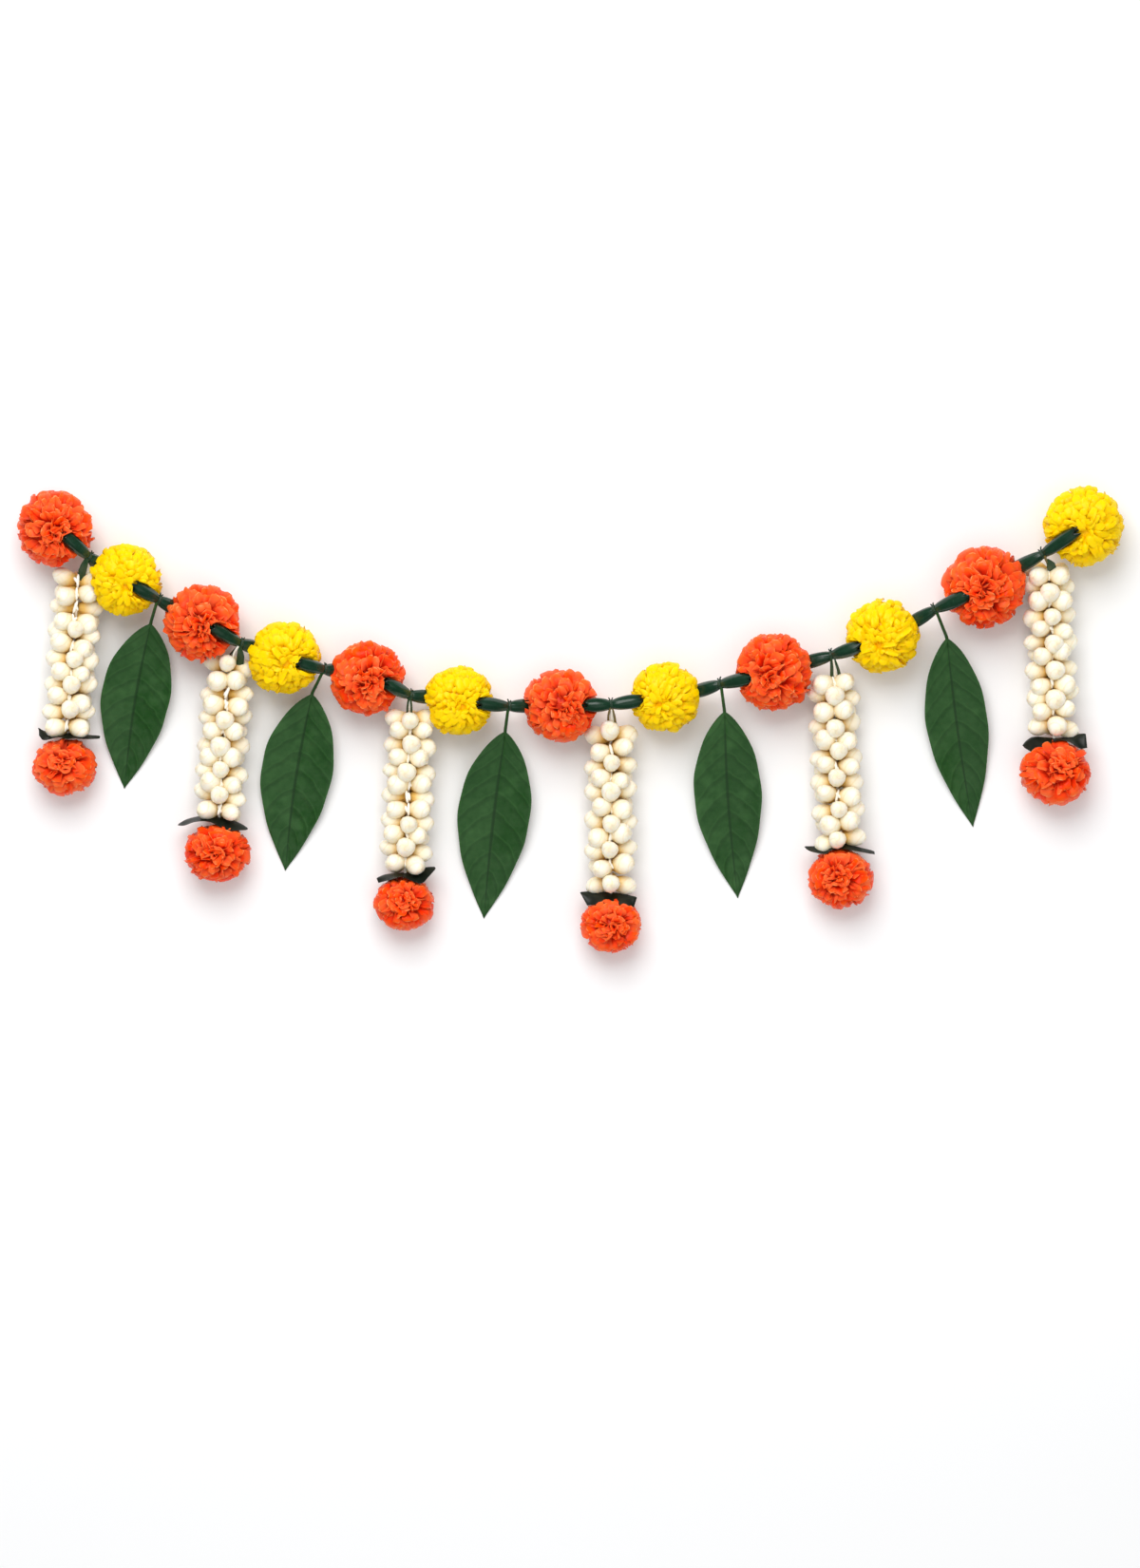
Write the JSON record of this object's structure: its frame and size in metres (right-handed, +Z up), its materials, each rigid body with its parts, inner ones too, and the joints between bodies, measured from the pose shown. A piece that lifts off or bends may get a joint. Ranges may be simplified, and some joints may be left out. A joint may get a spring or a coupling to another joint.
{
  "type": "door garland",
  "caption": "Curved door garland of marigold heads, orange and yellow by turns, with green sleeves between them and pendants of ivory buds or long green leaves.",
  "frame": {"origin": "middle of the outline seen from above, on the surface that the garland lies on", "axes": "+X to the right along the garland, +Y towards the ends of the curved cord and away from the pendants' tips, +Z up off the surface"},
  "size_m": [0.9296, 0.3932, 0.065],
  "materials": {
    "orange_petals": "soft ruffled artificial petals, vivid red-orange, paler edges and deep red folds",
    "yellow_petals": "soft ruffled artificial petals, bright golden yellow, ochre in the folds",
    "sleeve_green": "dark green satin film, creased lengthwise and pinched at the middle",
    "tie_green": "dark green floral wire and cord",
    "leaf_green": "moulded dark green leaf with a raised midrib and faint veins, satin",
    "cap_green": "near-black green leathery leaf, satin",
    "bud_ivory": "soft ivory buds with a swirl of overlapping petals and warm folds",
    "cord_white": "white twisted thread"
  },
  "bodies": {
    "root": {"main_cord": "tie_green", "marigold_1": "orange_petals", "marigold_2": "yellow_petals", "marigold_3": "orange_petals", "marigold_4": "yellow_petals", "marigold_5": "orange_petals", "marigold_6": "yellow_petals", "marigold_7": "orange_petals", "marigold_8": "yellow_petals", "marigold_9": "orange_petals", "marigold_10": "yellow_petals", "marigold_11": "orange_petals", "marigold_12": "yellow_petals", "sleeve_1": "sleeve_green", "sleeve_2": "sleeve_green", "sleeve_3": "sleeve_green", "sleeve_4": "sleeve_green", "sleeve_5": "sleeve_green", "sleeve_6": "sleeve_green", "sleeve_7": "sleeve_green", "sleeve_8": "sleeve_green", "sleeve_9": "sleeve_green", "sleeve_10": "sleeve_green", "sleeve_11": "sleeve_green", "hanger_1": "tie_green", "bud_string_1": "bud_ivory", "leaf_cap_1": "cap_green", "end_marigold_1": "orange_petals", "hanger_3": "tie_green", "bud_string_3": "bud_ivory", "leaf_cap_3": "cap_green", "end_marigold_3": "orange_petals", "hanger_5": "tie_green", "bud_string_5": "bud_ivory", "leaf_cap_5": "cap_green", "end_marigold_5": "orange_petals", "hanger_7": "tie_green", "bud_string_7": "bud_ivory", "leaf_cap_7": "cap_green", "end_marigold_7": "orange_petals", "hanger_9": "tie_green", "bud_string_9": "bud_ivory", "leaf_cap_9": "cap_green", "end_marigold_9": "orange_petals", "hanger_11": "tie_green", "bud_string_11": "bud_ivory", "leaf_cap_11": "cap_green", "end_marigold_11": "orange_petals", "leaf_tie_2": "tie_green", "leaf_2": "leaf_green", "leaf_tie_4": "tie_green", "leaf_4": "leaf_green", "leaf_tie_6": "tie_green", "leaf_6": "leaf_green", "leaf_tie_8": "tie_green", "leaf_8": "leaf_green", "leaf_tie_10": "tie_green", "leaf_10": "leaf_green"}
  },
  "joints": []
}
